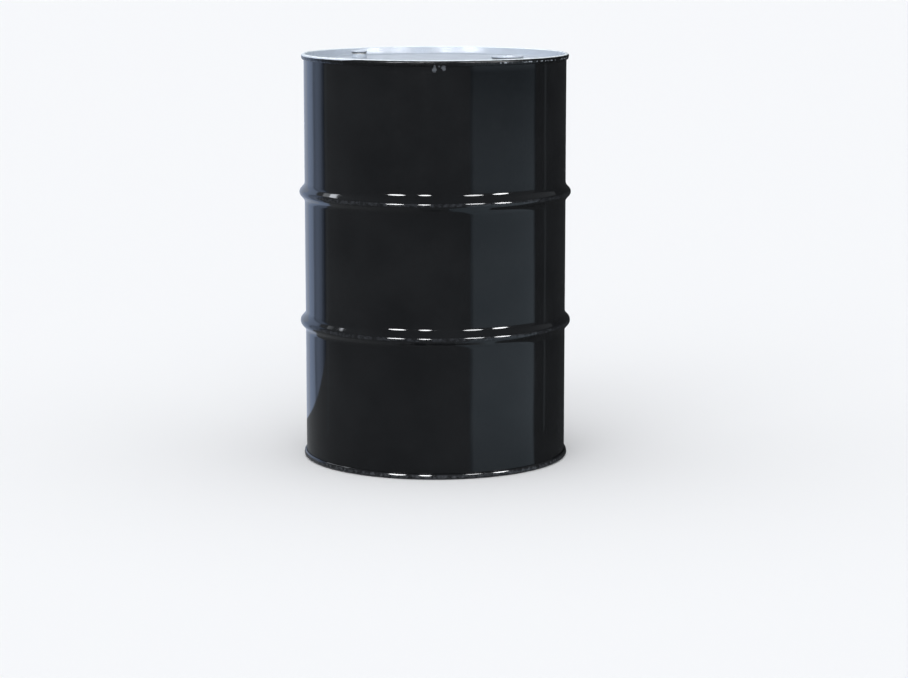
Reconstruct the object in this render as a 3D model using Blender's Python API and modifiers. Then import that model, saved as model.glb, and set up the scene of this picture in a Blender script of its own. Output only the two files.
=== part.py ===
"""Closed-head 55 US gallon steel drum, modelled at real size in metres with +Z up.

The origin is the centre of the circle that the drum stands on. The barrel is one rolled and
welded sheet with two rolling hoops. Each head is held by a double seam, in which the head's
cover hook and the barrel's body hook fold into each other over a ring of sealing compound.
The top head carries a 2 inch filling hole and a 3/4 inch vent, each made of a flange with a
threaded neck, the flange's gasket, a screw plug and the plug's gasket.
"""

import math

import bmesh
import bpy

# Driving dimensions
HEIGHT = 0.889
INSIDE_DIAMETER = 0.5715
HOOP_DIAMETER = 0.5969
SHEET = 0.0012

# Double seams: layers of sheet with a small gap between them
SEAM_GAP = 0.0006
CHIME_HEIGHT = 0.0125
INNER_CROWN_BEND = 0.0019
OUTER_CROWN_BEND = 0.0045
COMPOUND_HEIGHT = 0.0020
COMPOUND_REACH = 0.0008
HOOK_END_GAP = 0.0002
HEAD_RECESS = 0.0180
HEAD_BEND = 0.0060
CHUCK_LEAN = math.radians(4.5)

# Rolling hoops: two bulges of the barrel, placed evenly about its mid height
HOOP_SPACING = 0.2850
HOOP_CREST_BEND = 0.0100
HOOP_FOOT_BEND = 0.0160
HOOP_SLOPE = math.radians(42.0)

# Clearance between touching pieces
CLEAR = 0.0003

# Segments of a full turn
DRUM_STEPS = 40

# Closures: on opposite sides of the top head's centre, with both rims reaching one circle
CLOSURE_RIM_CIRCLE = 0.2220
VENT_DIRECTION = math.radians(146.5)
BUNG_DIRECTION = VENT_DIRECTION + math.pi

# Sizes of the 2 inch and the 3/4 inch closure. Heights count from the head's upper face.
BUNG = {
    "name": "bung",
    "direction": BUNG_DIRECTION,
    "steps": 32,
    "bore": 0.02985,
    "neck_wall": 0.0024,
    "neck_height": 0.0116,
    "collar_height": 0.0100,
    "base_across_flats": 0.0820,
    "base_thickness": 0.0030,
    "flange_gasket_width": 0.0060,
    "flange_gasket_thickness": 0.0016,
    "shank": 0.0289,
    "shank_length": 0.0150,
    "rim": 0.0350,
    "rim_thickness": 0.0028,
    "plug_gasket_width": 0.0042,
    "plug_gasket_thickness": 0.0020,
    "cup": 0.0255,
    "cup_floor": 0.0026,
    "lug_reach": 0.0065,
    "lug_width": 0.0080,
    "lug_drop": 0.0030,
}
VENT = {
    "name": "vent",
    "direction": VENT_DIRECTION,
    "steps": 24,
    "bore": 0.01335,
    "neck_wall": 0.0022,
    "neck_height": 0.0118,
    "collar_height": 0.0100,
    "base_across_flats": 0.0450,
    "base_thickness": 0.0030,
    "flange_gasket_width": 0.0040,
    "flange_gasket_thickness": 0.0016,
    "shank": 0.0124,
    "shank_length": 0.0130,
    "rim": 0.0184,
    "rim_thickness": 0.0026,
    "plug_gasket_width": 0.0035,
    "plug_gasket_thickness": 0.0020,
    "cup": 0.0098,
    "cup_floor": 0.0024,
    "lug_reach": 0.0028,
    "lug_width": 0.0045,
    "lug_drop": 0.0026,
}

# Radii of the middle of each layer in the seams, from the inside outwards
LAYER_PITCH = SHEET + SEAM_GAP
WALL = INSIDE_DIAMETER / 2 + SHEET / 2
CHUCK_WALL = WALL - LAYER_PITCH
COVER_HOOK = WALL + LAYER_PITCH
BODY_HOOK = WALL + 2 * LAYER_PITCH
SEAMING_WALL = WALL + 3 * LAYER_PITCH

# Heights of the middle of the sheet in the top seam; the bottom seam is its mirror image
CROWN = HEIGHT - SHEET / 2
BODY_CREST = CROWN - SHEET - 2 * CLEAR - COMPOUND_HEIGHT
BODY_BEND = BODY_CREST - LAYER_PITCH
COVER_BEND = HEIGHT - CHIME_HEIGHT + SHEET / 2 + LAYER_PITCH
COVER_HOOK_END = BODY_BEND - HOOK_END_GAP
BODY_HOOK_END = COVER_BEND + 2 * HOOK_END_GAP
HEAD_TOP = HEIGHT - HEAD_RECESS
PANEL = HEAD_TOP - SHEET / 2


def clear_scene():
    """Start from an empty scene."""
    for item in list(bpy.data.objects):
        bpy.data.objects.remove(item, do_unlink=True)


def new_collection(name):
    """Make a collection and link it to the scene."""
    collection = bpy.data.collections.new(name)
    bpy.context.scene.collection.children.link(collection)
    return collection


def new_material(name, colour, roughness, metallic):
    """A plain Principled material."""
    material = bpy.data.materials.new(name)
    material.use_nodes = True
    shader = material.node_tree.nodes["Principled BSDF"]
    shader.inputs["Base Color"].default_value = (*colour, 1.0)
    shader.inputs["Roughness"].default_value = roughness
    shader.inputs["Metallic"].default_value = metallic
    return material


def new_object(name, mesh, collection, location=(0.0, 0.0, 0.0), material=None):
    """Put a mesh in the scene under the given name."""
    item = bpy.data.objects.new(name, mesh)
    item.location = location
    if material:
        mesh.materials.append(material)
    collection.objects.link(item)
    return item


def arc(centre, radius, start, end, segments):
    """Points on an arc in the (radius, height) plane, angles in degrees from straight outwards."""
    points = []
    for index in range(segments + 1):
        angle = math.radians(start + (end - start) * index / segments)
        points.append((centre[0] + radius * math.cos(angle), centre[1] + radius * math.sin(angle)))
    return points


def mirrored(points):
    """The same profile at the other end of the drum, run in the other direction."""
    return [(radius, HEIGHT - height) for radius, height in reversed(points)]


def turned(name, profile, steps, collection, location=(0, 0, 0), material=None, closed=False):
    """Turn a profile of (radius, height) points about the Z axis with a Screw modifier."""
    mesh = bpy.data.meshes.new(name)
    edges = [(index, index + 1) for index in range(len(profile) - 1)]
    if closed:
        edges.append((len(profile) - 1, 0))
    mesh.from_pydata([(radius, 0.0, height) for radius, height in profile], edges, [])
    item = new_object(name, mesh, collection, location, material)
    screw = item.modifiers.new("Turn", "SCREW")
    screw.steps = steps
    screw.render_steps = steps
    screw.use_merge_vertices = True
    screw.merge_threshold = 0.00001
    return item


def thicken(item):
    """Give a turned sheet its thickness, half to each side of its profile."""
    solid = item.modifiers.new("Sheet", "SOLIDIFY")
    solid.thickness = SHEET
    solid.offset = 0.0
    solid.use_even_offset = True


def mark_cutter(item):
    """Cutters are tools, not pieces of the drum."""
    item.hide_render = True
    item.display_type = "WIRE"


def prism(name, radius, bottom, top, sides, collection, location, turn=0.0):
    """An upright prism or cylinder that cuts or adds to another piece."""
    shape = bmesh.new()
    bmesh.ops.create_cone(shape, cap_ends=True, segments=sides, radius1=radius, radius2=radius,
                          depth=top - bottom)
    bmesh.ops.translate(shape, vec=(0.0, 0.0, (top + bottom) / 2), verts=shape.verts)
    mesh = bpy.data.meshes.new(name)
    shape.to_mesh(mesh)
    shape.free()
    item = new_object(name, mesh, collection, location)
    item.rotation_euler.z = turn
    mark_cutter(item)
    return item


def block(name, size, centre, collection, location, turn):
    """A box that is joined to a plug, placed by its centre in the plug's own axes."""
    shape = bmesh.new()
    bmesh.ops.create_cube(shape, size=1.0)
    bmesh.ops.scale(shape, vec=size, verts=shape.verts)
    bmesh.ops.translate(shape, vec=centre, verts=shape.verts)
    mesh = bpy.data.meshes.new(name)
    shape.to_mesh(mesh)
    shape.free()
    item = new_object(name, mesh, collection, location)
    item.rotation_euler.z = turn
    mark_cutter(item)
    return item


def combine(target, tool, operation):
    """Boolean a tool into a piece."""
    boolean = target.modifiers.new(tool.name, "BOOLEAN")
    boolean.operation = operation
    boolean.solver = "EXACT"
    boolean.object = tool


def hoop_profile(middle):
    """The bulge of one rolling hoop, from its upper foot to its lower foot."""
    slope = math.degrees(HOOP_SLOPE)
    bends = HOOP_CREST_BEND + HOOP_FOOT_BEND
    rise = HOOP_DIAMETER / 2 - SHEET / 2 - WALL
    flank = (rise - bends * (1 - math.cos(HOOP_SLOPE))) / math.sin(HOOP_SLOPE)
    half_width = bends * math.sin(HOOP_SLOPE) + flank * math.cos(HOOP_SLOPE)
    foot = WALL + HOOP_FOOT_BEND
    crest = WALL + rise - HOOP_CREST_BEND
    points = arc((foot, middle + half_width), HOOP_FOOT_BEND, 180, 180 + slope, 2)
    points += arc((crest, middle), HOOP_CREST_BEND, slope, -slope, 4)
    points += arc((foot, middle - half_width), HOOP_FOOT_BEND, 180 - slope, 180, 2)
    return points


def body_hook_profile():
    """The top edge of the barrel, folded outwards and down around the cover hook."""
    fold = arc((COVER_HOOK, BODY_BEND), LAYER_PITCH, 0, 180, 4)
    return [(BODY_HOOK, BODY_HOOK_END)] + fold


def make_body_shell(collection, material):
    """The rolled barrel with both hoops and a body hook at each end."""
    hook = body_hook_profile()
    upper = hoop_profile(HEIGHT / 2 + HOOP_SPACING / 2)
    lower = hoop_profile(HEIGHT / 2 - HOOP_SPACING / 2)
    profile = hook + upper + lower + mirrored(hook)
    thicken(turned("body_shell", profile, DRUM_STEPS, collection, material=material))


def head_profile():
    """A head from its centre out: panel, leaning chuck wall, crown, seaming wall, cover hook."""
    lean = math.degrees(CHUCK_LEAN)
    inner_crown = arc((CHUCK_WALL + INNER_CROWN_BEND, CROWN - INNER_CROWN_BEND),
                      INNER_CROWN_BEND, 180 - lean, 90, 2)
    wall_top = inner_crown[0]
    wall_foot_height = PANEL + HEAD_BEND * (1 - math.sin(CHUCK_LEAN))
    wall_foot = wall_top[0] - (wall_top[1] - wall_foot_height) * math.tan(CHUCK_LEAN)
    bend_centre = (wall_foot - HEAD_BEND * math.cos(CHUCK_LEAN), PANEL + HEAD_BEND)
    panel = arc(bend_centre, HEAD_BEND, -90, -lean, 3)
    outer_crown = arc((SEAMING_WALL - OUTER_CROWN_BEND, CROWN - OUTER_CROWN_BEND),
                      OUTER_CROWN_BEND, 90, 0, 4)
    fold = arc((BODY_HOOK, COVER_BEND), LAYER_PITCH, 0, -180, 4)
    cover_hook = [(COVER_HOOK, COVER_HOOK_END)]
    return [(0.0, PANEL)] + panel + inner_crown + outer_crown + fold + cover_hook


def make_heads(collection, materials):
    """Both heads; the bottom one is the same pressing turned over and painted like the barrel."""
    top = turned("top_head", head_profile(), DRUM_STEPS, collection, material=materials["head"])
    thicken(top)
    thicken(turned("bottom_head", mirrored(head_profile()), DRUM_STEPS, collection,
                   material=materials["body"]))
    return top


def compound_profile():
    """The section of the sealing compound under the crown of the top seam."""
    inner = CHUCK_WALL + INNER_CROWN_BEND
    outer = SEAMING_WALL - OUTER_CROWN_BEND + COMPOUND_REACH
    top = CROWN - SHEET / 2 - CLEAR
    bottom = top - COMPOUND_HEIGHT
    return [(outer, top), (outer, bottom), (inner, bottom), (inner, top)]


def make_compounds(collection, material):
    """The two rings of sealing compound."""
    section = compound_profile()
    for name, profile in (("top_seam_compound", section),
                          ("bottom_seam_compound", mirrored(section))):
        turned(name, profile, DRUM_STEPS, collection, material=material, closed=True)


def closure_place(size):
    """Where a closure's axis meets the upper face of the top head."""
    circle = CLOSURE_RIM_CIRCLE - size["rim"]
    direction = size["direction"]
    return (circle * math.cos(direction), circle * math.sin(direction), HEAD_TOP)


def form_collar(size, head, cutters):
    """Raise the head's collar around the neck and pierce it."""
    place = closure_place(size)
    steps = size["steps"]
    hole = size["bore"] + size["neck_wall"] + CLEAR
    collar = prism(size["name"] + "_collar_form", hole + SHEET, -SHEET / 2, size["collar_height"],
                   steps, cutters, place)
    combine(head, collar, "UNION")
    pierce = prism(size["name"] + "_hole_cutter", hole, -4 * SHEET, 2 * size["collar_height"],
                   steps, cutters, place)
    combine(head, pierce, "DIFFERENCE")


def make_flange(size, collection, cutters, material):
    """The flange: an eight-sided base under the head with a neck up through its collar."""
    neck = size["bore"] + size["neck_wall"]
    base_top = -SHEET - 2 * CLEAR - size["flange_gasket_thickness"]
    base_bottom = base_top - size["base_thickness"]
    corner = size["base_across_flats"] / 2 / math.cos(math.pi / 8)
    disc = corner + SHEET
    profile = [(neck, size["neck_height"]), (neck, base_top), (disc, base_top),
               (disc, base_bottom), (size["bore"], base_bottom),
               (size["bore"], size["neck_height"])]
    place = closure_place(size)
    flange = turned(size["name"] + "_flange", profile, size["steps"], collection, place,
                    material, closed=True)
    outline = prism(size["name"] + "_base_outline", corner, 2 * base_bottom,
                    2 * size["neck_height"], 8, cutters, place, size["direction"])
    combine(flange, outline, "INTERSECT")


def make_flange_gasket(size, collection, material):
    """The ring between the flange's base and the underside of the head."""
    inner = size["bore"] + size["neck_wall"] + CLEAR
    outer = inner + size["flange_gasket_width"]
    top = -SHEET - CLEAR
    bottom = top - size["flange_gasket_thickness"]
    profile = [(outer, top), (outer, bottom), (inner, bottom), (inner, top)]
    turned(size["name"] + "_flange_gasket", profile, size["steps"], collection,
           closure_place(size), material, closed=True)


def make_plug_gasket(size, collection, material):
    """The ring between the plug's rim and the end of the neck."""
    inner = size["shank"] + CLEAR
    outer = inner + size["plug_gasket_width"]
    bottom = size["neck_height"] + CLEAR
    top = bottom + size["plug_gasket_thickness"]
    profile = [(outer, top), (outer, bottom), (inner, bottom), (inner, top)]
    turned(size["name"] + "_plug_gasket", profile, size["steps"], collection,
           closure_place(size), material, closed=True)


def make_plug(size, collection, cutters, material):
    """The screw plug: a cup with a rim, its threaded shank, and two lugs for the wrench."""
    rim_bottom = size["neck_height"] + 2 * CLEAR + size["plug_gasket_thickness"]
    rim_top = rim_bottom + size["rim_thickness"]
    shank_end = rim_bottom - size["shank_length"]
    floor = shank_end + size["cup_floor"]
    chamfer = size["rim_thickness"] / 3
    profile = [(0.0, floor), (size["cup"], floor), (size["cup"], rim_top),
               (size["rim"] - chamfer, rim_top), (size["rim"], rim_top - chamfer),
               (size["rim"], rim_bottom), (size["shank"], rim_bottom),
               (size["shank"], shank_end), (0.0, shank_end)]
    place = closure_place(size)
    plug = turned(size["name"] + "_plug", profile, size["steps"], collection, place, material)
    wall_middle = (size["cup"] + size["shank"]) / 2
    reach = wall_middle - size["cup"] + size["lug_reach"]
    lug_bottom = (floor + shank_end) / 2
    lug_top = rim_top - size["lug_drop"]
    for number, side in enumerate((1, -1), start=1):
        lug = block(size["name"] + "_lug_" + str(number),
                    (reach, size["lug_width"], lug_top - lug_bottom),
                    (side * (wall_middle - reach / 2), 0.0, (lug_top + lug_bottom) / 2),
                    cutters, place, size["direction"])
        combine(plug, lug, "UNION")


def make_closure(size, head, collection, cutters, materials):
    """One complete closure of the top head."""
    form_collar(size, head, cutters)
    make_flange(size, collection, cutters, materials["flange"])
    make_flange_gasket(size, collection, materials["gasket"])
    make_plug_gasket(size, collection, materials["gasket"])
    make_plug(size, collection, cutters, materials["plug"])


def make_materials():
    """One material for each kind of piece."""
    return {
        "body": new_material("black_enamel", (0.012, 0.013, 0.016), 0.15, 0.0),
        "head": new_material("pale_enamel", (0.56, 0.61, 0.67), 0.20, 0.0),
        "compound": new_material("seam_compound", (0.16, 0.15, 0.13), 0.70, 0.0),
        "flange": new_material("plated_flange", (0.55, 0.56, 0.58), 0.35, 1.0),
        "plug": new_material("plated_plug", (0.58, 0.59, 0.61), 0.32, 1.0),
        "gasket": new_material("gasket_rubber", (0.03, 0.03, 0.03), 0.65, 0.0),
    }


def build():
    """Model the whole drum."""
    clear_scene()
    collection = new_collection("steel_drum")
    cutters = new_collection("cutters")
    materials = make_materials()
    make_body_shell(collection, materials["body"])
    top_head = make_heads(collection, materials)
    make_compounds(collection, materials["compound"])
    for size in (BUNG, VENT):
        make_closure(size, top_head, collection, cutters, materials)


build()
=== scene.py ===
"""The looks of the closed-head steel drum: fine meshes, enamel, plating, studio and camera.

Every fine piece stands for one CAD node and keeps to that node's sizes, which are read from
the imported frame. Metres, +Z up, with the origin where the drum's axis meets the floor.
"""

import math

import bmesh
import bpy
from mathutils import Matrix, Vector, noise


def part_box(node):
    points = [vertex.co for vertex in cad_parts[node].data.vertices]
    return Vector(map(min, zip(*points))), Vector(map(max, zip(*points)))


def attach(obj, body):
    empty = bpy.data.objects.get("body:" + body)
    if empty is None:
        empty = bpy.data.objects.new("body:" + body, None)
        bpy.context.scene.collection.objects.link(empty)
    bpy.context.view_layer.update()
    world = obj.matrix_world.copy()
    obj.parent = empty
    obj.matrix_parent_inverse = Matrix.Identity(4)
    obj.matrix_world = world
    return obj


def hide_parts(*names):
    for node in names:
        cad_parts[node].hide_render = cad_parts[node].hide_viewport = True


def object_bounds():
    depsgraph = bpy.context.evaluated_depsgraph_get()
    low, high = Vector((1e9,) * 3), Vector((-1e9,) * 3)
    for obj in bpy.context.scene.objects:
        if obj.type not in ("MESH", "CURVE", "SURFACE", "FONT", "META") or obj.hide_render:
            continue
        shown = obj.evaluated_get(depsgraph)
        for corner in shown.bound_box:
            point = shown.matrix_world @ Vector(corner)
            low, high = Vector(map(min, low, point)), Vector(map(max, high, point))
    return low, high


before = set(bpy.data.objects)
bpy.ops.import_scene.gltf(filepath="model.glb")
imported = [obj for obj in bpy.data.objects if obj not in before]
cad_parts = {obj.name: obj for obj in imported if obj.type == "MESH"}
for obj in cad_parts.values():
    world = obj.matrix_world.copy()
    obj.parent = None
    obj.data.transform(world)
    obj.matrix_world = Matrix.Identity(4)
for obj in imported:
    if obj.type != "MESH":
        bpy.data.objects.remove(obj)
CAD_LOW, CAD_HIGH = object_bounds()

# Sheet and seam sizes that the drum is rolled from
SHEET = 0.0012
LAYER_PITCH = 0.0018
CLEAR = 0.0003
COMPOUND_HEIGHT = 0.0020
COMPOUND_REACH = 0.0008
CHIME_HEIGHT = 0.0125
HEAD_RECESS = 0.0180
HEAD_BEND = 0.0060
CHUCK_LEAN = math.radians(4.5)
HOOK_END_GAP = 0.0002
INNER_CROWN_BEND = 0.0019
OUTER_CROWN_BEND = 0.0045
HOOP_SPACING = 0.2850
HOOP_CREST_BEND = 0.0100
HOOP_FOOT_BEND = 0.0160
HOOP_SLOPE = math.radians(42.0)

# Sizes read from the frame
HEIGHT = CAD_HIGH.z
HOOP_RADIUS = CAD_HIGH.x
CHIME_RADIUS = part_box("top_head")[1].x

# Radii of the middle of each layer of sheet in the seams
SEAMING_WALL = CHIME_RADIUS - SHEET / 2
BODY_HOOK = SEAMING_WALL - LAYER_PITCH
COVER_HOOK = SEAMING_WALL - 2 * LAYER_PITCH
WALL = SEAMING_WALL - 3 * LAYER_PITCH
CHUCK_WALL = SEAMING_WALL - 4 * LAYER_PITCH

# Heights of the middle of the sheet in the top seam
CROWN = HEIGHT - SHEET / 2
BODY_BEND = CROWN - SHEET - 2 * CLEAR - COMPOUND_HEIGHT - LAYER_PITCH
COVER_BEND = HEIGHT - CHIME_HEIGHT + SHEET / 2 + LAYER_PITCH
HEAD_TOP = HEIGHT - HEAD_RECESS
PANEL = HEAD_TOP - SHEET / 2

# The rolled seam is pressed in a little towards its lower end: where that starts, its share,
# and how far below the top it reaches, in chime heights
PINCH_START = 0.0052
PINCH_SHARE = 0.34
PINCH_REACH = 1.2

# Fineness of the turned meshes
TURN_STEPS = 240
BEND_STEPS = 12
SMALL_BEND_STEPS = 6
WALL_STEP = 0.020
SHARP = math.radians(38.0)
MITRE_LIMIT = 0.5
MERGE_DISTANCE = 0.000002
LEVEL_TOLERANCE = 0.00001

# Slight waves in the rolled sheet, which fade out towards the seams
WAVE_START = 0.020
WAVE_FADE = 0.030
WAVES_ROUND = 3.2
WAVES_ALONG = 5.0
WAVE_HEIGHT = 0.00016
RIPPLE_HEIGHT = 0.00005
RIPPLES_PER_WAVE = 2.7

# Weld seam of the barrel, at the back. Its edge, softness and fine mesh count in half widths
WELD_ANGLE = math.radians(90.0)
WELD_HALF_WIDTH = 0.0055
WELD_HEIGHT = 0.00035
WELD_EDGE = 1.35
WELD_SOFTNESS = 0.35
WELD_MESH_REACH = 1.6
WELD_MESH_STEPS = 24

# Closures: sizes of the fine meshes, heights counted from the head's upper face
BUNG = {
    "name": "bung", "steps": 128, "pitch": 0.0254 / 11.5, "thread_depth": 0.00135,
    "thread_root": 0.0281, "neck_wall_out": 0.03225, "neck_height": 0.0116,
    "collar_height": 0.0100, "base_across_flats": 0.0820, "base_thickness": 0.0030,
    "flange_gasket_width": 0.0060, "gasket_thickness": 0.0016, "shank_length": 0.0150,
    "rim": 0.0350, "rim_thickness": 0.0028, "plug_gasket_width": 0.0042,
    "plug_gasket_thickness": 0.0020, "cup": 0.0252, "cup_floor": 0.0026,
    "lug_reach": 0.0065, "lug_width": 0.0080, "lug_drop": 0.0030, "patch": 0.0460,
}
VENT = {
    "name": "vent", "steps": 96, "pitch": 0.0254 / 14, "thread_depth": 0.00110,
    "thread_root": 0.01178, "neck_wall_out": 0.01555, "neck_height": 0.0118,
    "collar_height": 0.0100, "base_across_flats": 0.0450, "base_thickness": 0.0030,
    "flange_gasket_width": 0.0040, "gasket_thickness": 0.0016, "shank_length": 0.0130,
    "rim": 0.0184, "rim_thickness": 0.0026, "plug_gasket_width": 0.0035,
    "plug_gasket_thickness": 0.0020, "cup": 0.0096, "cup_floor": 0.0024,
    "lug_reach": 0.0028, "lug_width": 0.0045, "lug_drop": 0.0026, "patch": 0.0270,
}

# Edges, bends and play that both closures share
THREAD_CLEARANCE = 0.00025
THREAD_ROWS_PER_TURN = 9
THREAD_STEEPNESS = 1.3
THREAD_ROOT_SHARE = 0.15
COLLAR_FILLET = 0.0022
COLLAR_FLAT = 0.0040
NECK_LIP = 0.0008
NECK_FOOT_BEND = 0.0012
NECK_RUN_OUT = 12.0
BASE_OVERSIZE = 1.1
BASE_CORNER = 0.0030
PRISM_MARGIN = 0.002
SHANK_RELIEF = 0.0012
SHANK_EASE = 0.0006
SHANK_CHAMFER = 0.0010
SHANK_RUN_OUT = 1.6
CUP_BEND = 0.0020
CUP_LIP = 0.0009
LUG_SINK = 0.0012
LUG_EDGE = 0.0008
GASKET_EDGE = 0.0004
COMPOUND_EDGE = 0.0003

# Colours of the pale paint inside the top head, and of the black paint
PALE = (0.66, 0.715, 0.78)
BLACK = (0.0035, 0.0038, 0.0045)
CLEAN_BLACK = (0.0030, 0.0033, 0.0040)
DUSTY_BLACK = (0.0060, 0.0064, 0.0072)

# The pale paint goes over the crown and a little way down its outside: how far in that outside
# starts and is complete, the height of the edge of the paint, and how ragged and soft it is
OUTSIDE_START = CHIME_RADIUS - 0.0042
OUTSIDE_FULL = CHIME_RADIUS - 0.0040
PAINT_EDGE = HEIGHT - 0.0014
PAINT_RAGGED = 0.00025
PAINT_SOFT = 0.0001

# On the left the pale paint runs further down the outside of the chime: how far, and from where
PAINT_SAG = 0.0026
SAG_START = -0.165
SAG_FULL = -0.195

# Shades of the pale paint: its mottle and grain, a painted highlight along the crest, and the flat
# panel darkened by dust and painted shade
MOTTLE_SHADE = 0.88
GRAIN_SHADE = 0.70
GRAIN_SHARE = 0.35
# Painted highlight on the crest: how much lighter, its cap, and where it starts and is full
PAINTED_CREST_HIGHLIGHT = 1.36
CREST_HIGHLIGHT_LIMIT = 0.95
CREST_START = HEIGHT - 0.0026
CREST_FULL = HEIGHT - 0.0010
PANEL_FULL = HEAD_TOP + 0.0010
PANEL_END = HEAD_TOP + 0.0040
PANEL_DUST_AND_SHADE = 0.28
PANEL_DULLNESS = 0.24

# Painted glints: pale specks painted into the black of the chime, on its front right, where the
# lamps glint on its dents: top and bottom, where they start in X, how soft those limits are, and
# which part of the noise is a glint
GLINT_TOP = HEIGHT - 0.0060
GLINT_BOTTOM = HEIGHT - 0.0084
GLINT_START = 0.130
GLINT_SOFT = 0.0004
GLINT_FADE = 0.010
GLINT_STRENGTH = 0.75
GLINT_NOISE = (0.56, 0.62)

# Runs of the pale paint under the front of the chime: centre in X and Z, half width, half height
PAINT_RUNS = (
    (0.0006, 0.8700, 0.0046, 0.0060),
    (0.0012, 0.8765, 0.0022, 0.0036),
    (0.0102, 0.8765, 0.0022, 0.0022),
    (0.0196, 0.8730, 0.0047, 0.0054),
)
RUN_THICKNESS = 0.145
RUN_RAGGED = 0.38
RUN_EDGE = (0.70, 1.10)

# Wear on the black paint, which on the hoops is also a painted sheen along their crests: how deep
# it reaches in from the crest, its noise and its softness
HOOP_WEAR_AND_SHEEN_DEPTH = 0.0009
CHIME_WEAR_DEPTH = 0.0012
WEAR_SOFT = 0.0006
WEAR_NOISE = (0.42, 0.66)
RUB_NOISE = (0.55, 0.80)

# Roughness, as the range that noise moves it through
BLACK_ROUGHNESS = (0.045, 0.085)
PALE_ROUGHNESS = (0.20, 0.28)
GRAIN_ROUGHNESS = (0.0, 0.05)
PLATING_ROUGHNESS = (0.34, 0.50)
RUBBER_ROUGHNESS = (0.52, 0.72)

# Relief, in metres
ORANGE_PEEL = 0.000012
SHEET_UNEVENNESS = 0.00004
PALE_GRAIN = 0.00003
CHIME_DENTS = 0.0011
PLATING_MARKS = 0.00001
RUBBER_GRAIN = 0.00002

# Studio. Angles are in degrees round the drum, and a lamp's height is above the aiming point
CARD_FOOT = -0.004
SWEEP_BEHIND = 0.40
AIM_HEIGHT = 0.5
LAMP_DISTANCE = 6.0
LAMP_STRENGTH = 30.0
SOFT_LAMP_STRENGTH = 23.0
DIM_LAMP_STRENGTH = 7.0
LAMP_COLOUR = (0.97, 0.98, 1.0)
LAMP_HALF_HEIGHT = 8.5
SUN_COLOUR = (0.96, 0.985, 1.05)
FLOOR_COLOUR = (0.885, 0.87, 0.84)
FLOOR_SIZE = 30.0
FLOOR_DROP = 0.0005
ROOM_COLOUR = (0.90, 0.95, 1.0)
ROOM_STRENGTH = 0.22

# Camera: the photograph's viewing angle, looking down by the angle taken from 90 degrees
CAMERA_PLACE = (0.0414, -5.6803, 1.1932)
CAMERA_TILT = math.radians(90.0 - 9.37)
CAMERA_LENS = 102.68


# ---------------------------------------------------------------- outlines

def arc(centre, radius, start, end, steps=BEND_STEPS):
    """Points on an arc in the (radius, height) plane, angles in degrees from straight outwards."""
    points = []
    for index in range(steps + 1):
        angle = math.radians(start + (end - start) * index / steps)
        points.append((centre[0] + radius * math.cos(angle), centre[1] + radius * math.sin(angle)))
    return points


def straight(start, end, step):
    """Points strictly between two points, about one step apart."""
    length = math.hypot(end[0] - start[0], end[1] - start[1])
    count = max(1, round(length / step))
    return [(start[0] + (end[0] - start[0]) * index / count,
             start[1] + (end[1] - start[1]) * index / count) for index in range(1, count)]


def offset(points, distance):
    """A line beside the given one, to the left of its direction."""
    shifted = []
    last = len(points) - 1
    for index, point in enumerate(points):
        before = Vector(points[max(index - 1, 0)])
        after = Vector(points[min(index + 1, last)])
        here = Vector(point)
        inward = (here - before).normalized() if index else (after - here).normalized()
        outward = (after - here).normalized() if index < last else inward
        along = (inward + outward).normalized()
        stretch = 1.0 / max(MITRE_LIMIT, along.dot(outward))
        shifted.append((point[0] - along.y * distance * stretch,
                        point[1] + along.x * distance * stretch))
    return shifted


def sheet_outline(middle):
    """Both skins of a sheet from the line of its middle, as one closed outline."""
    half = SHEET / 2
    return offset(middle, half) + list(reversed(offset(middle, -half)))


def pinched(points):
    """A top seam's outline with its layers drawn in towards the barrel at their lower ends."""
    result = []
    for radius, height in points:
        depth = (HEIGHT - PINCH_START - height) / (CHIME_HEIGHT - PINCH_START)
        depth = max(0.0, min(1.0, depth))
        if radius > WALL + SHEET and height > HEIGHT - PINCH_REACH * CHIME_HEIGHT:
            radius = WALL + (radius - WALL) * (1 - PINCH_SHARE * depth * depth)
        result.append((radius, height))
    return result


def upside_down(points):
    """The same profile at the other end of the drum, run in the other direction."""
    return [(radius, HEIGHT - height) for radius, height in reversed(points)]


def hoop_profile(middle):
    """The middle line of one rolling hoop, from its upper foot to its lower foot."""
    slope = math.degrees(HOOP_SLOPE)
    bends = HOOP_CREST_BEND + HOOP_FOOT_BEND
    rise = HOOP_RADIUS - SHEET / 2 - WALL
    flank = (rise - bends * (1 - math.cos(HOOP_SLOPE))) / math.sin(HOOP_SLOPE)
    half_width = bends * math.sin(HOOP_SLOPE) + flank * math.cos(HOOP_SLOPE)
    foot = WALL + HOOP_FOOT_BEND
    crest = WALL + rise - HOOP_CREST_BEND
    upper = arc((foot, middle + half_width), HOOP_FOOT_BEND, 180, 180 + slope)
    crown = arc((crest, middle), HOOP_CREST_BEND, slope, -slope, 2 * BEND_STEPS)
    lower = arc((foot, middle - half_width), HOOP_FOOT_BEND, 180 - slope, 180)
    return upper + crown + lower


def barrel_profile():
    """The middle line of the barrel's sheet, from the top body hook to the bottom one."""
    fold = arc((COVER_HOOK, BODY_BEND), LAYER_PITCH, 0, 180)
    hook = [(BODY_HOOK, COVER_BEND + 2 * HOOK_END_GAP)] + fold
    upper = hoop_profile(HEIGHT / 2 + HOOP_SPACING / 2)
    lower = hoop_profile(HEIGHT / 2 - HOOP_SPACING / 2)
    bottom = upside_down(hook)
    return (hook + straight(hook[-1], upper[0], WALL_STEP) + upper
            + straight(upper[-1], lower[0], WALL_STEP) + lower
            + straight(lower[-1], bottom[0], WALL_STEP) + bottom)


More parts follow.
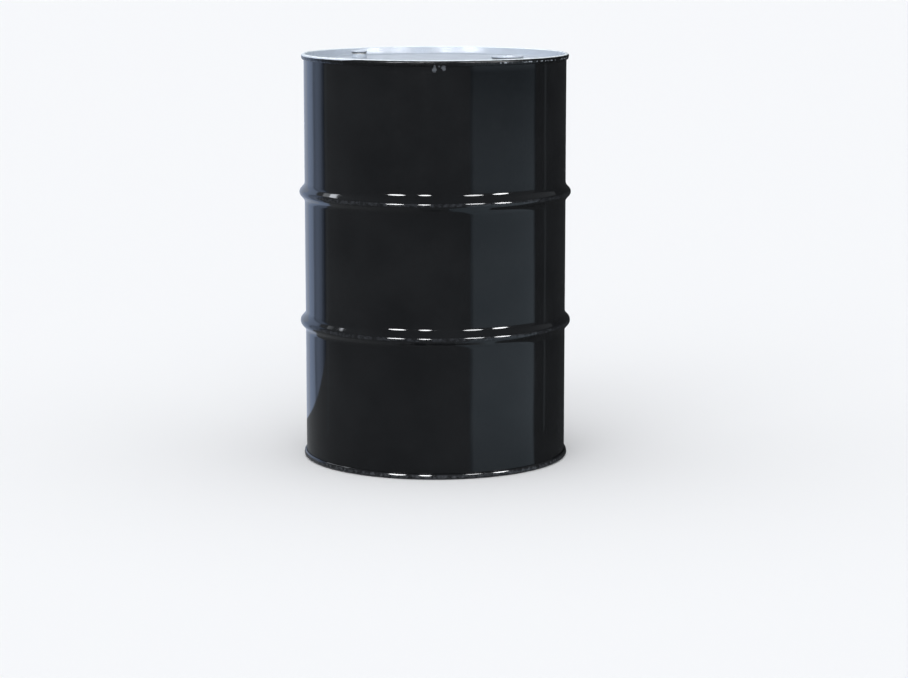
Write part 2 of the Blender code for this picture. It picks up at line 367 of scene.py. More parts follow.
def head_rim_profile():
    """The middle line of a head outside its flat panel: chuck wall, crown, seam and hook."""
    lean = math.degrees(CHUCK_LEAN)
    inner = arc((CHUCK_WALL + INNER_CROWN_BEND, CROWN - INNER_CROWN_BEND), INNER_CROWN_BEND,
                180 - lean, 90)
    wall_top = inner[0]
    foot_height = PANEL + HEAD_BEND * (1 - math.sin(CHUCK_LEAN))
    foot = wall_top[0] - (wall_top[1] - foot_height) * math.tan(CHUCK_LEAN)
    panel = arc((foot - HEAD_BEND * math.cos(CHUCK_LEAN), PANEL + HEAD_BEND), HEAD_BEND,
                -90, -lean)
    outer = arc((SEAMING_WALL - OUTER_CROWN_BEND, CROWN - OUTER_CROWN_BEND), OUTER_CROWN_BEND,
                90, 0)
    fold = arc((BODY_HOOK, COVER_BEND), LAYER_PITCH, 0, -180, 2 * BEND_STEPS)
    return panel + inner + outer + fold + [(COVER_HOOK, BODY_BEND - HOOK_END_GAP)]


def rounded(points, radius, steps=4):
    """A closed outline with every corner rounded to the given radius."""
    result = []
    count = len(points)
    for index in range(count):
        corner = Vector(points[index])
        before = Vector(points[index - 1])
        after = Vector(points[(index + 1) % count])
        start = corner + (before - corner).normalized() * radius
        end = corner + (after - corner).normalized() * radius
        for step in range(steps + 1):
            share = step / steps
            first = start.lerp(corner, share)
            second = corner.lerp(end, share)
            result.append(tuple(first.lerp(second, share)))
    return result


# ---------------------------------------------------------------- meshes

def even_angles(steps):
    """Equal steps round a full turn."""
    return [2 * math.pi * index / steps for index in range(steps)]


def barrel_angles():
    """Equal steps round the barrel, with finer ones across its weld."""
    reach = WELD_MESH_REACH * WELD_HALF_WIDTH / WALL
    fine = [WELD_ANGLE + reach * (2 * index / WELD_MESH_STEPS - 1)
            for index in range(WELD_MESH_STEPS + 1)]
    coarse = [angle for angle in even_angles(TURN_STEPS)
              if abs(angle - WELD_ANGLE) > reach + math.pi / TURN_STEPS]
    return sorted(coarse + fine)


def add_turned(shape, profile, angles, closed, place=(0.0, 0.0, 0.0), shift=None):
    """Add a turned surface to a bmesh. shift(index, angle) is added to a point's radius."""
    rings = []
    for angle in angles:
        ring = []
        for index, (radius, height) in enumerate(profile):
            if shift:
                radius = radius + shift(index, angle)
            ring.append(shape.verts.new((place[0] + radius * math.cos(angle),
                                         place[1] + radius * math.sin(angle),
                                         place[2] + height)))
        rings.append(ring)
    count = len(profile) if closed else len(profile) - 1
    for turn, ring in enumerate(rings):
        following = rings[(turn + 1) % len(rings)]
        for index in range(count):
            other = (index + 1) % len(profile)
            corners = (ring[index], ring[other], following[other], following[index])
            shape.faces.new(corners)


def finish_mesh(shape, name, material):
    """Weld, orient and shade a bmesh, and make it an object."""
    bmesh.ops.remove_doubles(shape, verts=shape.verts, dist=MERGE_DISTANCE)
    bmesh.ops.recalc_face_normals(shape, faces=shape.faces)
    mesh = bpy.data.meshes.new(name)
    shape.to_mesh(mesh)
    shape.free()
    mesh.shade_smooth()
    mesh.set_sharp_from_angle(angle=SHARP)
    mesh.materials.append(material)
    piece = bpy.data.objects.new(name, mesh)
    bpy.context.scene.collection.objects.link(piece)
    return piece


def place_piece(piece, body, node):
    """Let a fine piece stand for its CAD node."""
    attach(piece, body)
    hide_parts(node)


def apply_modifiers(piece):
    """Turn a piece's modifiers into plain mesh."""
    graph = bpy.context.evaluated_depsgraph_get()
    mesh = bpy.data.meshes.new_from_object(piece.evaluated_get(graph))
    old = piece.data
    piece.modifiers.clear()
    piece.data = mesh
    mesh.name = old.name
    bpy.data.meshes.remove(old)
    mesh.shade_smooth()
    mesh.set_sharp_from_angle(angle=SHARP)


# ---------------------------------------------------------------- barrel and heads

def make_barrel(material):
    """The barrel's sheet with both hoops, the weld and the slight waves of rolled steel."""
    middle = barrel_profile()
    outline = upside_down(pinched(upside_down(pinched(sheet_outline(middle)))))
    skin = len(middle)
    plain = [max(0.0, min(1.0, (min(height, HEIGHT - height) - WAVE_START) / WAVE_FADE))
             for _, height in middle]
    weights = plain + list(reversed(plain))

    def shift(index, angle):
        weight = weights[index]
        if weight == 0.0:
            return 0.0
        radius, height = outline[index]
        point = Vector((math.cos(angle) * WAVES_ROUND, math.sin(angle) * WAVES_ROUND,
                        height * WAVES_ALONG))
        wave = (WAVE_HEIGHT * noise.noise(point)
                + RIPPLE_HEIGHT * noise.noise(point * RIPPLES_PER_WAVE))
        across = abs((angle - WELD_ANGLE) * radius)
        bead = (WELD_EDGE * WELD_HALF_WIDTH - across) / (WELD_SOFTNESS * WELD_HALF_WIDTH)
        bead = max(0.0, min(1.0, bead))
        side = 1.0 if index < skin else -1.0
        return weight * (wave + side * bead * bead * (3 - 2 * bead) * WELD_HEIGHT)

    shape = bmesh.new()
    add_turned(shape, outline, barrel_angles(), closed=True, shift=shift)
    piece = finish_mesh(shape, "barrel", material)
    place_piece(piece, "drum", "body_shell")


def add_collar(shape, size, place):
    """The part of the top head round one closure: the panel drawn up into a collar."""
    hole = size["neck_wall_out"] + CLEAR
    mid = hole + SHEET / 2
    top = size["collar_height"]
    fillet = COLLAR_FILLET
    level = -SHEET / 2
    middle = [(size["patch"], level), (mid + fillet + COLLAR_FLAT, level)]
    middle += arc((mid + fillet, level + fillet), fillet, -90, -180)
    middle += [(mid, top)]
    outline = offset(middle, -SHEET / 2) + list(reversed(offset(middle, SHEET / 2)))
    add_turned(shape, outline, even_angles(size["steps"]), closed=False, place=place)


def fill_level(shape, height):
    """Close the open edges at one height with flat faces, leaving the holes they ring."""
    edges = [edge for edge in shape.edges if edge.is_boundary
             and all(abs(vert.co.z - height) < LEVEL_TOLERANCE for vert in edge.verts)]
    bmesh.ops.triangle_fill(shape, use_beauty=True, use_dissolve=False, edges=edges)


def make_head(name, closures, material):
    """One head. The top one has a collar for each closure; the bottom one is turned over."""
    middle = head_rim_profile()
    outline = pinched(offset(middle, SHEET / 2) + list(reversed(offset(middle, -SHEET / 2))))
    shape = bmesh.new()
    add_turned(shape, outline, even_angles(TURN_STEPS), closed=False)
    for size in closures:
        add_collar(shape, size, closure_place(size))
    bmesh.ops.remove_doubles(shape, verts=shape.verts, dist=MERGE_DISTANCE)
    fill_level(shape, HEAD_TOP)
    fill_level(shape, HEAD_TOP - SHEET)
    if not closures:
        for vert in shape.verts:
            vert.co.z = HEIGHT - vert.co.z
    piece = finish_mesh(shape, name + "_pressing", material)
    place_piece(piece, "drum", name)


def make_compound(name, material):
    """The ring of sealing compound under the crown of a seam."""
    top = CROWN - SHEET / 2 - CLEAR
    bottom = top - COMPOUND_HEIGHT
    inner = CHUCK_WALL + INNER_CROWN_BEND
    outer = SEAMING_WALL - OUTER_CROWN_BEND + COMPOUND_REACH
    section = [(outer, top), (outer, bottom), (inner, bottom), (inner, top)]
    if name.startswith("bottom"):
        section = upside_down(section)
    shape = bmesh.new()
    add_turned(shape, rounded(section, COMPOUND_EDGE), even_angles(TURN_STEPS), closed=True)
    piece = finish_mesh(shape, name + "_ring", material)
    place_piece(piece, "drum", name)


# ---------------------------------------------------------------- closures

def closure_place(size):
    """Where a closure's axis meets the upper face of the top head."""
    low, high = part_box(size["name"] + "_plug")
    return Vector(((low.x + high.x) / 2, (low.y + high.y) / 2, HEAD_TOP))


def thread(size, height, angle):
    """How far a right-hand thread stands at a point, from 0 at its root to 1 at its crest."""
    phase = (height / size["pitch"] - angle / (2 * math.pi)) % 1.0
    ramp = 1.0 - abs(2.0 * phase - 1.0)
    return max(0.0, min(1.0, THREAD_STEEPNESS * ramp - THREAD_ROOT_SHARE))


def thread_rows(size, start, end):
    """Heights for a threaded wall, close enough together to show each turn."""
    count = round(abs(end - start) / size["pitch"] * THREAD_ROWS_PER_TURN)
    return [start + (end - start) * index / count for index in range(count + 1)]


def make_flange(size, material):
    """The eight-sided base under the head and the threaded neck through its collar."""
    place = closure_place(size)
    base_top = -SHEET - 2 * CLEAR - size["gasket_thickness"]
    base_bottom = base_top - size["base_thickness"]
    neck_top = size["neck_height"]
    bore = size["thread_root"] + THREAD_CLEARANCE
    mouth = bore + size["thread_depth"]
    corner = size["base_across_flats"] / 2 / math.cos(math.pi / 8)
    lip = NECK_LIP
    rows = thread_rows(size, base_bottom + lip, neck_top - lip)
    wall = [(bore, height) for height in rows]
    outer = size["neck_wall_out"]
    head = [(mouth, neck_top - lip / 2), (mouth + lip / 2, neck_top), (outer - lip, neck_top),
            (outer - lip / 3, neck_top - lip / 3), (outer, neck_top - lip)]
    foot = arc((outer + NECK_FOOT_BEND, base_top + NECK_FOOT_BEND), NECK_FOOT_BEND, 180, 270, 5)
    base = [(corner * BASE_OVERSIZE, base_top), (corner * BASE_OVERSIZE, base_bottom),
            (mouth + lip / 2, base_bottom), (mouth, base_bottom + lip / 2)]
    profile = wall + head + foot + base
    span = rows[-1] - rows[0]

    def shift(index, angle):
        if index >= len(rows):
            return 0.0
        height = rows[index]
        near_end = min(height - rows[0], rows[-1] - height) / span
        cut = max(thread(size, height, angle), 1.0 - min(1.0, near_end * NECK_RUN_OUT))
        return size["thread_depth"] * cut

    shape = bmesh.new()
    add_turned(shape, profile, even_angles(size["steps"]), closed=True, place=place, shift=shift)
    piece = finish_mesh(shape, size["name"] + "_flange_fitting", material)
    outline = eight_sides(size, place, corner, base_bottom)
    cut = piece.modifiers.new("Sides", "BOOLEAN")
    cut.operation = "INTERSECT"
    cut.object = outline
    apply_modifiers(piece)
    bpy.data.objects.remove(outline, do_unlink=True)
    place_piece(piece, "drum", size["name"] + "_flange")


def eight_sides(size, place, corner, base_bottom):
    """An eight-sided prism with softened upright edges, a little taller than the flange."""
    shape = bmesh.new()
    bottom = base_bottom - PRISM_MARGIN
    top = size["neck_height"] + PRISM_MARGIN
    bmesh.ops.create_cone(shape, cap_ends=True, segments=8, radius1=corner, radius2=corner,
                          depth=top - bottom)
    bmesh.ops.rotate(shape, verts=shape.verts,
                     matrix=Matrix.Rotation(math.atan2(place.y, place.x), 3, "Z"))
    bmesh.ops.translate(shape, vec=place + Vector((0.0, 0.0, (top + bottom) / 2)),
                        verts=shape.verts)
    upright = [edge for edge in shape.edges
               if abs(edge.verts[0].co.z - edge.verts[1].co.z) > 0.001]
    bmesh.ops.bevel(shape, geom=upright, offset=BASE_CORNER, segments=4, profile=0.5,
                    affect="EDGES")
    mesh = bpy.data.meshes.new("eight_sides")
    shape.to_mesh(mesh)
    shape.free()
    item = bpy.data.objects.new("eight_sides", mesh)
    bpy.context.scene.collection.objects.link(item)
    return item


def make_ring(size, name, inner, outer, bottom, top, body, material):
    """A gasket with rounded edges."""
    outline = rounded([(outer, top), (outer, bottom), (inner, bottom), (inner, top)], GASKET_EDGE)
    shape = bmesh.new()
    add_turned(shape, outline, even_angles(size["steps"]), closed=True,
               place=closure_place(size))
    piece = finish_mesh(shape, name + "_ring", material)
    place_piece(piece, body, name)


def make_plug(size, material):
    """The pressed plug: threaded shank, rim with a rolled edge, and a cup with two lugs."""
    place = closure_place(size)
    rim_bottom = size["neck_height"] + 2 * CLEAR + size["plug_gasket_thickness"]
    rim_top = rim_bottom + size["rim_thickness"]
    shank_end = rim_bottom - size["shank_length"]
    floor = shank_end + size["cup_floor"]
    cup = size["cup"]
    root = size["thread_root"]
    edge = size["rim_thickness"] / 2
    rows = thread_rows(size, rim_bottom - SHANK_RELIEF, shank_end + SHANK_RELIEF)
    inside = [(0.0, floor)] + arc((cup - CUP_BEND, floor + CUP_BEND), CUP_BEND, -90, 0,
                                  SMALL_BEND_STEPS)
    lip = arc((cup + CUP_LIP, rim_top - CUP_LIP), CUP_LIP, 180, 90, SMALL_BEND_STEPS)
    rim = arc((size["rim"] - edge, rim_top - edge), edge, 90, -90)
    under = [(root + SHANK_EASE, rim_bottom), (root, rim_bottom - SHANK_EASE)]
    shank = [(root, height) for height in rows]
    end = [(root - SHANK_CHAMFER, shank_end), (0.0, shank_end)]
    profile = inside + lip + rim + under + shank + end
    first_row = len(inside) + len(lip) + len(rim) + len(under)

    def shift(index, angle):
        row = index - first_row
        if not 0 <= row < len(rows):
            return 0.0
        height = rows[row]
        near_end = min(rows[0] - height, height - rows[-1]) / size["pitch"]
        return (size["thread_depth"] * thread(size, height, angle)
                * min(1.0, near_end * SHANK_RUN_OUT))

    shape = bmesh.new()
    add_turned(shape, profile, even_angles(size["steps"]), closed=False, place=place,
               shift=shift)
    piece = finish_mesh(shape, size["name"] + "_screw_plug", material)
    for side in (1, -1):
        lug = make_lug(size, place, side, cup, floor, rim_top)
        join = piece.modifiers.new("Lug", "BOOLEAN")
        join.operation = "UNION"
        join.object = lug
        apply_modifiers(piece)
        bpy.data.objects.remove(lug, do_unlink=True)
    place_piece(piece, size["name"] + "_stopper", size["name"] + "_plug")


def make_lug(size, place, side, cup, floor, rim_top):
    """One wrench lug inside the cup, with rounded edges, sunk a little into wall and floor."""
    sink = LUG_SINK
    reach = size["lug_reach"] + sink
    top = rim_top - size["lug_drop"]
    bottom = floor - sink
    shape = bmesh.new()
    bmesh.ops.create_cube(shape, size=1.0)
    bmesh.ops.scale(shape, vec=(reach, size["lug_width"], top - bottom), verts=shape.verts)
    bmesh.ops.bevel(shape, geom=list(shape.edges), offset=LUG_EDGE, segments=3, profile=0.5,
                    affect="EDGES")
    middle = Vector((side * (cup + sink - reach / 2), 0.0, (top + bottom) / 2))
    bmesh.ops.translate(shape, vec=middle, verts=shape.verts)
    mesh = bpy.data.meshes.new("lug")
    shape.to_mesh(mesh)
    shape.free()
    item = bpy.data.objects.new("lug", mesh)
    item.location = place
    item.rotation_euler.z = math.atan2(place.y, place.x)
    bpy.context.scene.collection.objects.link(item)
    return item


def make_closure(size, materials):
    """One complete closure of the top head."""
    name = size["name"]
    make_flange(size, materials["flange"])
    neck = size["neck_wall_out"] + CLEAR
    under = -SHEET - CLEAR
    make_ring(size, name + "_flange_gasket", neck, neck + size["flange_gasket_width"],
              under - size["gasket_thickness"], under, "drum", materials["gasket"])
    shank = size["thread_root"] + size["thread_depth"] + CLEAR / 2
    seat = size["neck_height"] + CLEAR
    make_ring(size, name + "_plug_gasket", shank, shank + size["plug_gasket_width"], seat,
              seat + size["plug_gasket_thickness"], name + "_seal", materials["gasket"])
    make_plug(size, materials["plug"])


# ---------------------------------------------------------------- materials

def shade(colour, factor, limit=1.0):
    """A lighter or darker colour, with no part above the limit."""
    return tuple(min(limit, factor * part) for part in colour)


class Shading:
    """A Principled material with short ways to add its nodes."""

    def __init__(self, name, colour, roughness, metallic=0.0):
        self.material = bpy.data.materials.new(name)
        self.material.use_nodes = True
        self.nodes = self.material.node_tree.nodes
        self.links = self.material.node_tree.links
        self.shader = self.nodes["Principled BSDF"]
        self.shader.inputs["Base Color"].default_value = (*colour, 1.0)
        self.shader.inputs["Roughness"].default_value = roughness
        self.shader.inputs["Metallic"].default_value = metallic
        self.place = self.nodes.new("ShaderNodeTexCoord").outputs["Object"]
        self.parts = self.nodes.new("ShaderNodeSeparateXYZ").outputs
        self.links.new(self.place, self.parts[0].node.inputs["Vector"])

    def noise(self, scale, detail=3.0, stretch=(1.0, 1.0, 1.0)):
        """Procedural noise in the drum's own space, stretched along its axes."""
        mapping = self.nodes.new("ShaderNodeMapping")
        mapping.inputs["Scale"].default_value = stretch
        texture = self.nodes.new("ShaderNodeTexNoise")
        texture.inputs["Scale"].default_value = scale
        texture.inputs["Detail"].default_value = detail
        self.links.new(self.place, mapping.inputs["Vector"])
        self.links.new(mapping.outputs["Vector"], texture.inputs["Vector"])
        return texture.outputs["Fac"]

    def spread(self, value, low, high, start=0.35, end=0.65):
        """Map a value from one range to another, kept inside it."""
        node = self.nodes.new("ShaderNodeMapRange")
        node.inputs["From Min"].default_value = start
        node.inputs["From Max"].default_value = end
        node.inputs["To Min"].default_value = low
        node.inputs["To Max"].default_value = high
        self.links.new(value, node.inputs["Value"])
        return node.outputs["Result"]

    def math(self, operation, first, second=0.0):
        """Combine two values, or a value and a number. A square root takes only the first."""
        node = self.nodes.new("ShaderNodeMath")
        node.operation = operation
        for socket, value in zip(node.inputs, (first, second)):
            if isinstance(value, (int, float)):
                socket.default_value = value
            else:
                self.links.new(value, socket)
        return node.outputs["Value"]

    def blend(self, factor, first, second):
        """A colour between two colours."""
        node = self.nodes.new("ShaderNodeMix")
        node.data_type = "RGBA"
        for name, value in (("A", first), ("B", second)):
            socket = next(entry for entry in node.inputs
                          if entry.name == name and entry.type == "RGBA")
            if isinstance(value, tuple):
                socket.default_value = (*value, 1.0)
            else:
                self.links.new(value, socket)
        self.links.new(factor, node.inputs["Factor"])
        return next(entry for entry in node.outputs if entry.type == "RGBA")

    def bump(self, height, distance, strength=1.0):
        """Add relief on top of what the material already has."""
        node = self.nodes.new("ShaderNodeBump")
        node.inputs["Distance"].default_value = distance
        node.inputs["Strength"].default_value = strength
        self.links.new(height, node.inputs["Height"])
        normal = self.shader.inputs["Normal"]
        if normal.is_linked:
            self.links.new(normal.links[0].from_socket, node.inputs["Normal"])
        self.links.new(node.outputs["Normal"], normal)

    def product(self, *values):
        """Several values multiplied together."""
        result = values[0]
        for value in values[1:]:
            result = self.math("MULTIPLY", result, value)
        return result

    def distance(self, first, second):
        """The length of a vector with two parts."""
        return self.math("SQRT", self.math("ADD", self.product(first, first),
                                           self.product(second, second)))

    def radius(self):
        """The distance from the drum's axis."""
        return self.distance(self.parts["X"], self.parts["Y"])

    def paint_runs(self):
        """Where the runs of pale paint lie on the front of the drum, from 0 to 1."""
        parts = self.parts
        ragged = self.spread(self.noise(330.0), -RUN_RAGGED, RUN_RAGGED, 0.3, 0.7)
        found = None
        for across, height, half_width, half_height in PAINT_RUNS:
            side = self.math("DIVIDE", self.math("SUBTRACT", parts["X"], across), half_width)
            rise = self.math("DIVIDE", self.math("SUBTRACT", parts["Z"], height), half_height)
            reach = self.math("ADD", self.distance(side, rise), ragged)
            run = self.spread(reach, 1.0, 0.0, *RUN_EDGE)
            found = run if found is None else self.math("MAXIMUM", found, run)
        front = self.math("LESS_THAN", parts["Y"], 0.0)
        return self.product(found, front, RUN_THICKNESS)

    def painted_glints(self):
        """Where pale specks are painted on the chime as glints of the lamps, from 0 to 1."""
        height = self.parts["Z"]
        lower = self.spread(height, 0.0, 1.0, GLINT_BOTTOM, GLINT_BOTTOM + GLINT_SOFT)
        upper = self.spread(height, 1.0, 0.0, GLINT_TOP - GLINT_SOFT, GLINT_TOP)
        right = self.spread(self.parts["X"], 0.0, 1.0, GLINT_START, GLINT_START + GLINT_FADE)
        front = self.math("LESS_THAN", self.parts["Y"], 0.0)
        spots = self.spread(self.noise(150.0, 2.0), 0.0, GLINT_STRENGTH, *GLINT_NOISE)
        return self.product(lower, upper, right, front, spots)

    def dent_chime(self):
        """Small dents and flats that handling leaves on the outside of a rolled seam."""
        outside = self.spread(self.radius(), 0.0, 1.0, WALL + 0.0020, WALL + 0.0040)
        self.bump(self.product(self.noise(75.0, 2.0), outside), CHIME_DENTS)

    def set(self, socket, value):
        """Drive one of the shader's inputs."""
        self.links.new(value, self.shader.inputs[socket])


def enamel(name, wear, wear_and_sheen_from, wear_and_sheen_colour, runs=False):
    """Black gloss enamel: fine orange peel, handling haze, and a lighter colour outside a given
    radius: wear, and on the hoop crests also a painted sheen.
    """
    shading = Shading(name, BLACK, 0.06)
    haze = shading.noise(9.0, 5.0)
    fine = shading.noise(420.0, 2.0)
    rubbed = shading.noise(60.0, 6.0, (1.0, 1.0, 3.0))
    colour = shading.blend(shading.spread(haze, 0.0, 1.0), CLEAN_BLACK, DUSTY_BLACK)
    # Wear and painted sheen: a lighter colour on the outermost edges; on the hoop crests it also
    # stands in for a sheen
    high = shading.spread(shading.radius(), 0.0, 1.0, wear_and_sheen_from, wear_and_sheen_from + WEAR_SOFT)
    scuffs_and_sheen = shading.spread(shading.noise(140.0, 4.0), 0.08, 1.0, *WEAR_NOISE)
    colour = shading.blend(shading.product(high, scuffs_and_sheen), colour, wear_and_sheen_colour)
    if runs:
        colour = shading.blend(shading.paint_runs(), colour, PALE)
    shading.set("Base Color", colour)
    shading.set("Roughness", shading.math("ADD", shading.spread(haze, *BLACK_ROUGHNESS),
                                          shading.spread(rubbed, 0.0, wear, *RUB_NOISE)))
    shading.bump(fine, ORANGE_PEEL)
    shading.bump(shading.noise(55.0, 1.0), SHEET_UNEVENNESS)
    shading.shader.inputs["IOR"].default_value = 1.52
    return shading.material


def two_tone_enamel():
    """The top head: pale enamel inside, and the barrel's black on the outside of the chime."""
    shading = Shading("top_head_enamel", PALE, 0.20)
    shading.shader.inputs["Specular IOR Level"].default_value = 0.40
    height = shading.parts["Z"]
    outside = shading.spread(shading.radius(), 0.0, 1.0, OUTSIDE_START, OUTSIDE_FULL)
    ragged = shading.spread(shading.noise(90.0, 4.0), -PAINT_RAGGED, PAINT_RAGGED, 0.3, 0.7)
    edge = shading.math("ADD", height, ragged)
    sag = shading.spread(shading.parts["X"], PAINT_SAG, 0.0, SAG_FULL, SAG_START)
    edge = shading.math("ADD", edge, sag)
    below = shading.spread(edge, 1.0, 0.0, PAINT_EDGE - PAINT_SOFT, PAINT_EDGE + PAINT_SOFT)
    black = shading.math("MULTIPLY", outside, below)
    mottle = shading.noise(34.0, 6.0)
    grain = shading.noise(520.0, 3.0)
    pale = shading.blend(shading.spread(mottle, 0.0, 1.0), PALE, shade(PALE, MOTTLE_SHADE))
    pale = shading.blend(shading.spread(grain, 0.0, GRAIN_SHARE), pale, shade(PALE, GRAIN_SHADE))
    # Painted highlight: the pale paint is lightened along the crest, where the gloss catches the
    # light
    crest = shading.spread(height, 0.0, 1.0, CREST_START, CREST_FULL)
    pale = shading.blend(crest, pale, shade(PALE, PAINTED_CREST_HIGHLIGHT, CREST_HIGHLIGHT_LIMIT))
    # Dust and painted shade: the flat panel is darkened towards black, below the chuck wall
    dust_and_shade = shading.spread(height, PANEL_DUST_AND_SHADE, 0.0, PANEL_FULL, PANEL_END)
    pale = shading.blend(dust_and_shade, pale, BLACK)
    dark = shading.blend(shading.paint_runs(), BLACK, PALE)
    # Painted glints: pale specks on the black of the chime stand for the lamps' glints on its
    # dents
    dark = shading.blend(shading.painted_glints(), dark, PALE)
    shading.set("Base Color", shading.blend(black, pale, dark))
    dull = shading.spread(height, PANEL_DULLNESS, 0.0, PANEL_FULL, PANEL_END)
    dull = shading.math("MULTIPLY", dull, shading.math("SUBTRACT", 1.0, black))
    rough = shading.math("ADD", shading.spread(mottle, *PALE_ROUGHNESS),
                         shading.spread(grain, *GRAIN_ROUGHNESS))
    shading.set("Roughness", shading.math("ADD", rough, dull))
    shading.bump(grain, PALE_GRAIN)
    shading.bump(shading.noise(55.0, 1.0), SHEET_UNEVENNESS)
    shading.dent_chime()
    return shading.material


def plating(name, colour):
    """Bright zinc plating with a soft crystalline mottle and fine turning marks."""
    shading = Shading(name, colour, 0.40, 0.30)
    mottle = shading.noise(240.0, 4.0)
    shading.set("Base Color", shading.blend(shading.spread(mottle, 0.0, 1.0), colour,
                                            shade(colour, 0.78)))
    shading.set("Roughness", shading.spread(mottle, *PLATING_ROUGHNESS))
    shading.bump(shading.noise(900.0, 2.0, (1.0, 1.0, 6.0)), PLATING_MARKS)
    return shading.material


def rubber(name, colour):
    """Moulded rubber or sealing compound with a fine dull grain and some dust."""
    shading = Shading(name, colour, 0.6)
    grain = shading.noise(700.0)
    shading.set("Roughness", shading.spread(grain, *RUBBER_ROUGHNESS))
    shading.set("Base Color", shading.blend(shading.spread(grain, 0.0, 1.0), colour,
                                            shade(colour, 1.5)))
    shading.bump(grain, RUBBER_GRAIN)
    return shading.material


def make_materials():
    """One material for each kind of surface."""
    return {
        "barrel": enamel("barrel_enamel", 0.05, HOOP_RADIUS - HOOP_WEAR_AND_SHEEN_DEPTH,
                         (0.030, 0.032, 0.036), runs=True),
        "top_head": two_tone_enamel(),
        "bottom_head": enamel("bottom_head_enamel", 0.04, CHIME_RADIUS - CHIME_WEAR_DEPTH,
                              (0.060, 0.063, 0.068)),
        "compound": rubber("seam_compound", (0.16, 0.15, 0.13)),
        "flange": plating("flange_plating", (0.60, 0.60, 0.59)),
        "plug": plating("plug_plating", (0.63, 0.675, 0.73)),
        "gasket": rubber("gasket_rubber", (0.11, 0.12, 0.13)),
    }


# ---------------------------------------------------------------- studio

def glow(name, colour, strength=None):
    """A plain emitting material for studio cards; without a strength it reads each point's."""
    material = bpy.data.materials.new(name)
    material.use_nodes = True
    nodes = material.node_tree.nodes
    links = material.node_tree.links
    nodes.clear()
    emission = nodes.new("ShaderNodeEmission")
    emission.inputs["Color"].default_value = (*colour, 1.0)
    if strength is None:
        level = nodes.new("ShaderNodeAttribute")
        level.attribute_name = "level"
        links.new(level.outputs["Fac"], emission.inputs["Strength"])
    else:
        emission.inputs["Strength"].default_value = strength
    output = nodes.new("ShaderNodeOutputMaterial")
    links.new(emission.outputs["Emission"], output.inputs["Surface"])
    return material


def reflector(name, shape, material):
    """A studio card that only mirrors in glossy surfaces."""
    mesh = bpy.data.meshes.new(name)
    shape.to_mesh(mesh)
    shape.free()
    mesh.materials.append(material)
    card = bpy.data.objects.new(name, mesh)
    bpy.context.scene.collection.objects.link(card)
    card.visible_camera = False
    card.visible_diffuse = False
    card.visible_transmission = False
    card.visible_volume_scatter = False
    card.visible_shadow = False
    return card


def toward(azimuth, distance, height):
    """A place round the drum. Azimuth 0 is the camera's side, positive to its right."""
    angle = math.radians(azimuth)
    return Vector((distance * math.sin(angle), -distance * math.cos(angle), height))


def mirrored_place(azimuth, distance, height):
    """A place that far along the ray which the barrel mirrors towards an azimuth."""
    along = math.radians(azimuth)
    foot = along / 2
    return Vector((WALL * math.sin(foot) + distance * math.sin(along),
                   -WALL * math.cos(foot) - distance * math.cos(along), height))


def filled(columns, step=3.0):
    """The given (azimuth, brightness) columns with others between them, a step apart."""
    result = [columns[0]]
    for (start, first), (end, last) in zip(columns, columns[1:]):
        count = max(1, round(abs(end - start) / step))
        result += [(start + (end - start) * index / count, first + (last - first) * index / count)
                   for index in range(1, count + 1)]
    return result


def curved_card(name, colour, columns, rows, behind=None):
    """A card that the barrel mirrors, with soft changes of brightness.

    Columns are (azimuth, brightness) and rows are (distance, height, share of that brightness).
    With behind, the first row starts where Y reaches that value, and not at its own distance.
    """
    shape = bmesh.new()
    layer = shape.verts.layers.float.new("level")
    lines = []
    for number, (distance, height, share) in enumerate(rows):
        line = []
        for azimuth, brightness in filled(columns):
            if behind is not None and number == 0:
                along = math.radians(azimuth)
                distance = (behind + WALL * math.cos(along / 2)) / -math.cos(along)
            vert = shape.verts.new(mirrored_place(azimuth, distance, height))
            vert[layer] = brightness * share
            line.append(vert)
        lines.append(line)
    for lower, upper in zip(lines, lines[1:]):
        for index in range(len(lower) - 1):
            shape.faces.new((lower[index], lower[index + 1], upper[index + 1], upper[index]))
    reflector(name, shape, glow(name + "_light", colour))


def umbrella(name, azimuth, elevation, half_width, half_height, material,
             distance=LAMP_DISTANCE):
    """A round softbox that faces the drum; its size is given in degrees as the drum sees it."""
    shape = bmesh.new()
    bmesh.ops.create_circle(shape, cap_ends=True, segments=48, radius=1.0)
    card = reflector(name, shape, material)
    across = distance * math.tan(math.radians(half_width))
    upward = distance * math.tan(math.radians(half_height))
    card.scale = (across, upward, 1.0)
    card.location = toward(azimuth, distance,
                           AIM_HEIGHT + distance * math.tan(math.radians(elevation)))
    facing = card.location - Vector((0.0, 0.0, AIM_HEIGHT))
    card.rotation_euler = facing.to_track_quat("Z", "Y").to_euler()


